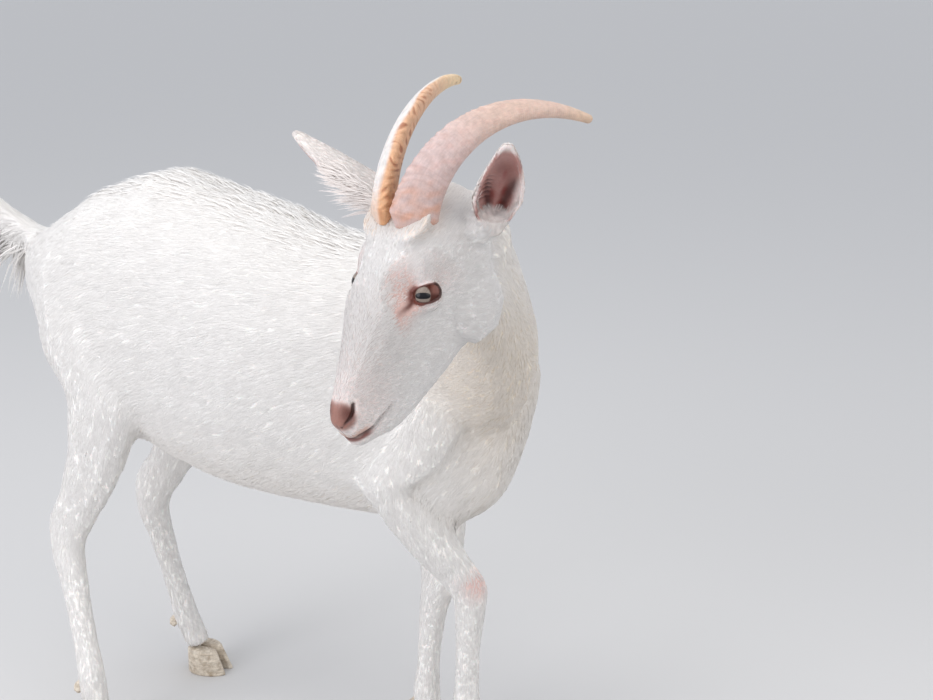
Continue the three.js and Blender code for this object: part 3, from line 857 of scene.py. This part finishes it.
# ---- Hooves ----
# Two claws to a foot and two small dewclaws behind: pale horn, grown downwards from the coronet in fine level
# ridges and worn rough at the ground.
hoof_horn, tree = material("pale_hoof_horn")
where = node(tree, "TexCoord")
levels = node(tree, "Mapping", {"Vector": where.outputs["Object"]}, Scale=(60.0, 60.0, 520.0))
growth = node(tree, "TexNoise", {"Vector": levels}, Scale=1.0, Detail=3.0)
patch = node(tree, "TexNoise", {"Vector": where.outputs["Object"]}, Scale=130.0, Detail=5.0, Roughness=0.7)
ramp = node(tree, "ValToRGB", {"Fac": patch})
for stop, place, code in zip(ramp.color_ramp.elements, (0.3, 0.62), ("#A39079", "#E3D8C7")):
    stop.position, stop.color = place, (*paint(code), 1)
ridged = tinted(tree, ramp, growth, 0.35, 0.65, 0.82, 1.05)
bump = node(tree, "Bump", {"Height": growth}, Strength=0.6, Distance=0.001)
shader = node(tree, "BsdfPrincipled", {"Base Color": ridged, "Normal": bump}, Roughness=0.58, IOR=1.55)
node(tree, "OutputMaterial", {"Surface": shader})
for limb in limbs:
    nodes = [f"{limb}_{kind}_{side}" for kind in ("claw", "dewclaw") for side in ("left", "right")]
    claws = []
    for name in nodes:
        claw = copy_of(name)
        edit(claw, ("select_all", {"action": "SELECT"}), ("dissolve_limited", {"angle_limit": math.radians(2)}))
        rounding = (1.3 if "dew" in name else 1.6) * mm
        apply_modifier(claw, "BEVEL", width=rounding, segments=2, limit_method="ANGLE", angle_limit=math.radians(28))
        apply_modifier(claw, "TRIANGULATE")
        if "dew" in name:
            # A dewclaw is set in the skin, which lies a coat's depth inside the solid leg.
            middle = Vector(points(claw).mean(0))
            _, seat, outwards, _ = skin.closest_point_on_mesh(middle)
            stands_out = 1.5 * mm
            set_points(claw, points(claw) + np.array(seat + outwards * stands_out - middle))
        claws.append(claw)
    hooves = join(claws, f"{limb}_hooves")
    hooves.data.materials.clear()
    hooves.data.materials.append(hoof_horn)
    hooves.data.shade_smooth()
    select_only(hooves)
    bpy.ops.object.shade_smooth_by_angle(angle=math.radians(35))
    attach(hooves, "root")
    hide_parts(*nodes)

# ---- How the coat lies ----
# Hair grows from nose to tail and downwards: back over the face, down the neck and chest, back and ever more
# downwards over the flanks, straight down the legs. It is longest under the tail, on the back ridge and the belly.
trunk_low, trunk_high, tail_low, tail_high = (np.array(v) for name in ("trunk", "tail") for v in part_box(name))
s = (co[:, 0] - trunk_low[0]) / (trunk_high[0] - trunk_low[0])
h = (co[:, 2] - trunk_low[2]) / (trunk_high[2] - trunk_low[2])
flow = np.zeros_like(co)
# The angle below level, in degrees: more on the belly, behind the hips and on the chest.
dip = mix(38, 6, ease(h, 0.15, 0.85)) + 42 * ease(-s, -0.3, -0.02) * ease(h, 0.2, 0.6) + 30 * ease(s, 0.82, 1.0)
dip = np.radians(dip)
on_trunk = within(part, "trunk")
flow += on_trunk[:, None] * np.column_stack([-np.cos(dip), 0 * dip, -np.sin(dip)])
foot = (trunk_low + trunk_high) / 2 * [0, 1, 1] + [trunk_high[0] - 0.13, 0.02, 0]
flow += within(part, "neck")[:, None] * unit(foot - co)
back_over = from_head([-0.9, 0, -0.25]) - from_head([0, 0, 0])
cheek_way = from_head([-0.8, 0, -0.75]) - from_head([0, 0, 0])
side_of_head = ease(-local[:, 2], 0.03, 0.08)[:, None]
flow += within(part, "head")[:, None] * unit(back_over * (1 - side_of_head) + cheek_way * side_of_head)
for leg in legs:
    mine = within(part, leg)
    z = co[mine, 2]
    top = co[mine][z > np.quantile(z, 0.85)].mean(0)
    bottom = co[mine][z < np.quantile(z, 0.15)].mean(0)
    flow[mine] = unit(unit(bottom - top) + np.array([-0.18, 0, 0]))
tail_end = np.array([tail_low[0], co[within(part, "tail"), 1].mean(), tail_high[2] - 0.03])
tail_way = unit(tail_end - np.array([tail_high[0], (tail_low[1] + tail_high[1]) / 2, tail_low[2] + 0.06]))
hang = ease(-n[:, 2], -0.5, 0.5)[:, None]
on_tail = within(part, "tail")
flow += on_tail[:, None] * unit(tail_way * (1 - 0.75 * hang) + np.array([0.0, 0, -1.0]) * hang * 0.9)
for side in ear_root:
    mine = within(part, f"ear_{side}")
    flow[mine] = head_turn @ ear_points[side]
flow = spread(unit(flow), ends, 12)
swing = np.radians(9) * ripple(co, 46 * mm, 3) + np.radians(5) * ripple(co, 17 * mm, 4)
flow = unit(flow - n * (flow * n).sum(1)[:, None])
flow = unit(flow * np.cos(swing)[:, None] + np.cross(n, flow) * np.sin(swing)[:, None])

# Part by part: length, width and lift of the tips, in millimetres, and tufts per square centimetre.
kinds = {
    "trunk": (22, 2.1, 0.55, 14.2),
    "neck": (14, 1.7, 0.7, 17.0),
    "head": (8, 1.15, 0.28, 36.0),
    "tail": (27, 1.9, 2.6, 26.0),
    "ear": (6.5, 1.0, 0.5, 30.0),
    "upper": (13, 1.7, 0.4, 16.0),
    "lower": (8, 1.4, 0.3, 21.0),
}
length, width, lift, dense = spread(by_part(kinds), ends, 10).T
ridge = ease(n[:, 2], 0.72, 0.97) * on_trunk * ease(s, 0.02, 0.1)
length += 3 * ridge
lift = lift + 1.0 * ridge * (0.5 + 0.5 * ripple(co, 22 * mm, 5))
under = ease(-n[:, 2], 0.3, 0.9) * on_trunk
length += 5 * under
lift += 2 * under
chest = ease(s, 0.8, 1.0) * on_trunk
length += 3 * chest
fringe = on_tail * ease(-n[:, 2], -0.2, 0.5)
length += (46 - 28 * ease(tail_high[0] - co[:, 0], 0.0, tail_high[0] - tail_low[0])) * fringe
free = 0.95 * fringe
dense = dense * (1 + 0.5 * fringe)
# Long hair streams off the lower edge of each ear.
for side, sign in both_sides:
    offset = local - ear_root[side]
    edge = offset @ unit(np.cross(ear_points[side], ear_opens[side])) * -sign
    t = offset @ ear_points[side] / ear_length
    stream = within(part, f"ear_{side}") * ease(edge, 0.009, 0.015) * ease(t, 0.0, 0.1) * (1 - ease(t, 0.42, 0.7))
    length += (22 if side == "right" else 6) * stream
    free = np.maximum(free, (0.9 if side == "right" else 0.4) * stream)
crown = blob(local, (22, 0, 2), 46, 4)
length += 6 * crown
lift = lift + 0.9 * crown * (0.5 + 0.5 * ripple(co, 14 * mm, 6))
width += 0.1 * crown
cheek = blob(np.abs(local), (40, 45, 90), 45, 4) * within(part, "head")
length += 3 * cheek
muzzle_end = ease(local[:, 0], 0.13, 0.21) * within(part, "head")
length *= (1 - 0.4 * muzzle_end)
width *= (1 - 0.3 * muzzle_end)
feet = 1 - ease(co[:, 2], 0.03, 0.09)
length *= (1 - 0.25 * feet)
lift += 0.8 * feet
round_eye = 1 - ease(lid_gap, 0.002, 0.013)
length *= (1 - 0.6 * round_eye) * (1 - 0.6 * bell(tear_gap, 9 * mm))
lift *= (1 - 0.7 * round_eye)
dense *= (1 - ease(bare, 0.15, 0.5)) * ease(lid_gap, 0.0012, 0.003)
length *= (1 - 0.4 * callus)
dense = dense * (1 - 0.45 * callus) * (1 + 0.25 * crown)
for side, sign in both_sides:
    # No hair grows where the horn stands.
    heading, keel = (v[0] for v in heading_at(np.zeros(1), side, sign))
    keel = unit(keel - heading * (keel @ heading))
    offset = (local - horn_axis[side][0]) / mm
    half_width, half_depth = 11, 21
    stands = np.hypot(offset @ np.cross(keel, heading) / half_width, offset @ keel / half_depth)
    dense *= np.where(norms(offset) < 40, ease(stands, 0.6, 0.85), 1)
# Hair is paler than the skin, less so where the neck's tint and painted shade lie.
paler = (1 - on_ear) * (1 - bare) * (0.45 - 0.2 * np.clip(warm_tint_and_shade, 0, 1))
coat_hue = over(tone, ("#FBF8F5", paler))

# Roots scattered over the skin's triangles.
skin.data.calc_loop_triangles()
tris = read(skin.data.loop_triangles, "vertices", 3, np.int32)
corner = co[tris]
area = norms(np.cross(corner[:, 1] - corner[:, 0], corner[:, 2] - corner[:, 0])) / 2 * 1e4
wanted = area * dense[tris].mean(1)
draw = np.random.default_rng(2024)
number = int(wanted.sum() * (1))
pick = np.searchsorted(np.cumsum(wanted), draw.uniform(0, wanted.sum(), number))
u, v = draw.uniform(size=(2, number))
flip = u + v > 1
u[flip], v[flip] = 1 - u[flip], 1 - v[flip]
weights = np.column_stack([1 - u - v, u, v])


def at_root(field):
    values = field[tris[pick]]
    return (values * (weights if values.ndim == 2 else weights[..., None])).sum(1)


root = at_root(co)
up = unit(at_root(n))
way = unit(at_root(flow))
part_root = part[tris[pick, 0]]
stray_angle = np.radians(9)
stray = stray_angle * draw.normal(size=number)
way = unit(way * np.cos(stray)[:, None] + np.cross(up, way) * np.sin(stray)[:, None])
long = at_root(length) * mm * draw.uniform(0.7, 1.25, number)
broad = at_root(width) * mm * draw.uniform(0.75, 1.25, number)
raise_tip = at_root(lift) * mm * draw.uniform(0.35, 1.35, number)
# A few hairs of the back stand up and make its outline ragged.
ragged_share, ragged_rise = 0.06, 6 * mm
raise_tip += at_root(ridge) * ragged_rise * (draw.uniform(size=number) < ragged_share) * draw.uniform(0.3, 1, number)
loose = at_root(free)
# A hanging tuft is a curtain seen from the side: it faces sideways.
sideways = np.column_stack([0.1 + 0 * loose, np.where(up[:, 1] > 0, 1.0, -1.0), 0.45 + 0 * loose])
skin_tree = BVHTree.FromPolygons(co.tolist(), tris.tolist())


def snap(p):
    """The nearest places on the skin, with the skin's normals and the lie of the coat there."""
    spots, faces = np.empty_like(p), np.empty(len(p), int)
    for k, q in enumerate(p.tolist()):
        spot, _, faces[k], _ = skin_tree.find_nearest(q)
        spots[k] = spot
    a, b, c = (co[tris[faces, k]] for k in range(3))
    ab, ac, ap = b - a, c - a, spots - a
    bb, bc, cc = (ab * ab).sum(1), (ab * ac).sum(1), (ac * ac).sum(1)
    pb, pc = (ap * ab).sum(1), (ap * ac).sum(1)
    whole = np.maximum(bb * cc - bc * bc, 1e-20)
    v, w = (cc * pb - bc * pc) / whole, (bb * pc - bc * pb) / whole
    near = np.clip(np.column_stack([1 - v - w, v, w]), 0, 1)[..., None]
    return spots, unit((n[tris[faces]] * near).sum(1)), unit((flow[tris[faces]] * near).sum(1))


def laid(root, way, up, long, raise_tip, loose):
    """The middle and tip of each tuft, lying along the skin or hanging free of it."""
    middle, up_middle, turned = snap(root + way * long[:, None] * 0.5)
    ahead = unit(0.5 * way + turned)
    tip, up_tip, _ = snap(middle + ahead * long[:, None] * 0.5)
    middle = middle + up_middle * (raise_tip * 0.62)[:, None]
    tip = tip + up_tip * raise_tip[:, None]
    hang = np.array([0.02, 0, -0.35])
    free_middle = root + unit(way + 0.35 * up + hang * 0.5) * long[:, None] * 0.5
    free_tip = free_middle + unit(way + hang * 1.6 + 0.1 * up) * long[:, None] * 0.5
    return mix(middle, free_middle, loose[:, None]), mix(tip, free_tip, loose[:, None]), up_middle


middle, tip, up_middle = laid(root, way, up, long, raise_tip, loose)
# A tuft whose middle lies round a fold from its root would cross the skin, and is left out.
fold_limit = 0.3
sound = (up * up_middle).sum(1) > fold_limit
up = unit(mix(up, sideways, 0.9 * loose[:, None]))
up_middle = unit(mix(up_middle, sideways, 0.9 * loose[:, None]))
# Neighbouring tufts lean together into locks, each towards the tip of the one that leads it.
leader_share, lock_pull = 0.11, 0.28
leaders = np.nonzero(draw.uniform(size=number) < leader_share)[0]
tree_of = KDTree(len(leaders))
for k, spot in enumerate(((root + middle) / 2)[leaders].tolist()):
    tree_of.insert(spot, k)
tree_of.balance()
lead = np.empty(number, int)
gap = np.empty(number)
for k, spot in enumerate(((root + middle) / 2).tolist()):
    _, lead[k], gap[k] = tree_of.find(spot)
lead = leaders[lead]
pull = lock_pull * (1 - ease(gap, 0.25 * long, 0.7 * long)) * (part_root[lead] == part_root)
tip += (tip[lead] - tip) * pull[:, None] * (1 - 0.4 * loose[:, None])
middle += (middle[lead] - middle) * pull[:, None] * 0.3
lock_shade = draw.normal(size=number)[lead]

# ---- Tufts ----
# Each tuft is a thin, flat, closed blade of hair: a ring at its root under the skin, a ring half way and a point.
# The blades of one region are one mesh.
hair, tree = material("soft_white_goat_hair")
colour = node(tree, "Attribute", attribute_name="Tone")
strand = node(tree, "Attribute", attribute_name="Strand")
# Single hairs are under 0.1 mm, too fine to show, so strands are drawn three times as coarse.
combed = node(tree, "Mapping", {"Vector": strand.outputs["Vector"]}, Scale=(3400.0, 130.0, 1.0))
strands = node(tree, "TexNoise", {"Vector": combed}, Scale=1.0, Detail=2.0)
combed_hue = tinted(tree, colour, strands, 0.3, 0.7, 0.93, 1.03)
bump = node(tree, "Bump", {"Height": strands}, Strength=0.3, Distance=0.0004)
shader = node(
    tree,
    "BsdfPrincipled",
    {"Base Color": combed_hue, "Normal": bump},
    Roughness=0.55,
    IOR=1.5,
    Sheen_Weight=0.2,
    Sheen_Roughness=0.4,
    Subsurface_Weight=0.35,
    Subsurface_Radius=(1.0, 1.0, 1.0),
    Subsurface_Scale=0.002,
)
node(tree, "OutputMaterial", {"Surface": shader})
blade = np.array("034 041 145 152 253 230 364 465 563 012".split())
blade = np.array([[int(corner) for corner in face] for face in blade])
underside = [0, 1, 6, 9]
# Where each of a blade's seven points lies when it is pressed flat: across, and from root to tip.
blade_flat = np.array([[0, 0], [1, 0], [0.5, 0], [0, 0.5], [1, 0.5], [0.5, 0.5], [0.5, 1]])
patch_size = 0.003


def coat_piece(name, chosen, *unwrapped):
    """The chosen tufts as one mesh. `unwrapped` is the place of each root on the skin when it is laid flat."""
    mine = np.nonzero(chosen & sound)[0]
    unwrapped = np.column_stack(unwrapped)[mine]
    count = len(mine)
    r, m, t = root[mine], middle[mine], tip[mine]
    u0, u1, w = up[mine], up_middle[mine], broad[mine][:, None]
    side = unit(np.cross(way[mine], u0))
    side_middle = unit(np.cross(unit(t - r), u1))
    base = r - u0 * 0.25 * w
    root_ring = [base - side * 0.4 * w, base + side * 0.4 * w, base + u0 * 0.16 * w]
    middle_ring = [m - side_middle * 0.5 * w, m + side_middle * 0.5 * w, m + u1 * 0.13 * w]
    places = np.stack([*root_ring, *middle_ring, t], axis=1)
    faces = (blade[None] + 7 * np.arange(count)[:, None, None]).reshape(-1, 3)
    mesh = bpy.data.meshes.new(name)
    mesh.vertices.add(7 * count)
    mesh.vertices.foreach_set("co", places.astype(np.float32).ravel())
    mesh.loops.add(faces.size)
    mesh.loops.foreach_set("vertex_index", faces.astype(np.int32).ravel())
    mesh.polygons.add(len(faces))
    mesh.polygons.foreach_set("loop_start", np.arange(0, faces.size, 3, dtype=np.int32))
    mesh.update(calc_edges=True)
    mesh.shade_smooth()
    piece = add_object(name, mesh)
    at_base = [u0 - 0.15 * side, u0 + 0.15 * side, u0]
    at_middle = [u1 - 0.25 * side_middle, u1 + 0.25 * side_middle, u1]
    shine = np.stack([*at_base, *at_middle, u1 + 0.15 * unit(t - m)], axis=1)
    # The underside of a blade takes the light from below.
    shine = unit(shine)[:, blade]
    shine[:, underside] *= -1
    mesh.normals_split_custom_set(shine.reshape(-1, 3))
    variation = 1 + 0.02 * lock_shade[mine] + 0.022 * draw.normal(size=count)
    hue = at_root(coat_hue)[mine] * variation[:, None]
    # Each blade is darker at its root and lighter at its tip: painted shade where the roots lie under other hair.
    along = np.array([0.94, 0.94, 0.95, 0.995, 0.995, 1.0, 1.02])
    keep_colour(piece, "Tone", np.clip(hue[:, None] * along[None, :, None], 0, 1).reshape(-1, 3))
    seed = draw.uniform(0, 5, count)
    reach = long[mine]
    lay = [np.column_stack([x * broad[mine] + seed, y * reach + seed, 0 * seed]) for x, y in blade_flat - [0.5, 0]]
    keep_vector(piece, "Strand", np.stack(lay, axis=1))
    low, high = unwrapped.min(0), unwrapped.max(0)
    flat = 0.02 + 0.95 * (unwrapped - low) / (high - low)
    corners = (flat[:, None] + blade_flat * patch_size).reshape(-1, 2)
    bake = mesh.uv_layers.new(name="OFBake")
    bake.data.foreach_set("uv", corners[faces.ravel()].astype(np.float32).ravel())
    mesh.materials.append(hair)
    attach(piece, "root")


def around(p, centre, a, b):
    """The angle of each point about a line through `centre`, square to directions a and b."""
    return np.arctan2((p - centre) @ a, (p - centre) @ b)


x_way, y_way, z_way = np.eye(3)
root_s = (root[:, 0] - trunk_low[0]) / (trunk_high[0] - trunk_low[0])
trunk_middle = (trunk_low + trunk_high) / 2
of_trunk = within(part_root, "trunk")
rump = of_trunk & (root_s < 0.24)
front = of_trunk & (root_s > 0.80)
barrel = of_trunk & ~rump & ~front
belly = barrel & (up[:, 2] < -0.45)
back = barrel & (up[:, 2] > 0.62)
left = root[:, 1] > trunk_middle[1]
of_head = within(part_root, "head")
head_local = to_head(root)
head_angle = np.arctan2(head_local[:, 1], head_local[:, 2] + 0.055)
regions = {
    "coat_rump_left": rump & left,
    "coat_rump_right": rump & ~left,
    "coat_belly": belly,
    "coat_back": back,
    "coat_flank_left": barrel & ~belly & ~back & left,
    "coat_flank_right": barrel & ~belly & ~back & ~left,
    "coat_chest_left": front & left,
    "coat_chest_right": front & ~left,
}
for name, chosen in regions.items():
    coat_piece(name, chosen, root[:, 0], around(root, trunk_middle, y_way, z_way))
neck_middle = np.array(sum(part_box("neck"), Vector()) / 2)
coat_piece("coat_neck", within(part_root, "neck"), root[:, 2], around(root, neck_middle, y_way, x_way))
for name, chosen in (("coat_face_left", head_local[:, 1] > 0), ("coat_face_right", head_local[:, 1] <= 0)):
    coat_piece(name, of_head & chosen, head_local[:, 0], head_angle)
tail_middle = (tail_low + tail_high) / 2
coat_piece("coat_tail", within(part_root, "tail"), root[:, 0], around(root, tail_middle, y_way, z_way))
for side in ear_root:
    offset = head_local - ear_root[side]
    along, opens = ear_points[side], ear_opens[side]
    behind = (up @ head_turn) @ opens < 0
    breadth = offset @ unit(np.cross(along, opens)) + 0.08 * behind
    coat_piece(f"coat_ear_{side}", within(part_root, f"ear_{side}"), offset @ along, breadth)
for limb in limbs:
    chosen = within(part_root, f"{limb}_upper", f"{limb}_lower")
    coat_piece(f"coat_{limb}", chosen, root[:, 2], around(root, root[chosen].mean(0), y_way, x_way))

# ---- The studio ----
# A plain pale floor, three large soft lights (above, beside the camera and to the right) and an even pale sky.
# The camera stands in front of the goat, to its right, and looks a little down.
bpy.ops.mesh.primitive_plane_add(size=600, location=(0, 0, 0))
floor = bpy.context.object
floor.name = "floor"
paper, tree = material("matt_grey_paper")
shader = node(tree, "BsdfPrincipled", Base_Color="#CCCBCA", Roughness=0.9)
node(tree, "OutputMaterial", {"Surface": shader})
floor.data.materials.append(paper)
world = bpy.data.worlds.new("studio")
bpy.context.scene.world = world
world.use_nodes = True
world.node_tree.nodes["Background"].inputs["Color"].default_value = (*paint("#C9CCD2"), 1)
bpy.context.scene.view_settings.view_transform = "Standard"
world.node_tree.nodes["Background"].inputs["Strength"].default_value = 1.36


def lamp(name, place, size, power, aim, colour):
    light = bpy.data.lights.new(name, "AREA")
    light.shape, light.size, light.energy = "DISK", size, power
    light.color = paint(colour)
    holder = add_object(name, light)
    holder.location = place
    holder.rotation_euler = (Vector(aim) - Vector(place)).to_track_quat("-Z", "Y").to_euler()


lamp("overhead", (-0.4, -0.8, 3.1), 2.2, 28, (0, 0, 0.4), "#FFFDF8")
lamp("beside_camera", (-1.2, -2.7, 1.4), 2.0, 38, (-0.05, 0, 0.4), "#FBFAFF")
lamp("right", (2.5, -0.6, 1.9), 1.8, 16, (0.3, -0.1, 0.5), "#FFF8EE")
camera = bpy.data.cameras.new("camera")
camera.sensor_width = 36
camera.lens = 54.0
camera.clip_start = 0.05
watcher = add_object("camera", camera)
stand = (cad_low + cad_high) / 2
watcher.location = (stand.x + 0.8924, stand.y - 1.186, cad_low.z + 0.946)
pitch = math.radians(16)
look = Vector((-0.437 * math.cos(pitch), 0.8995 * math.cos(pitch), -math.sin(pitch)))
watcher.rotation_euler = look.to_track_quat("-Z", "Y").to_euler()
bpy.context.scene.camera = watcher
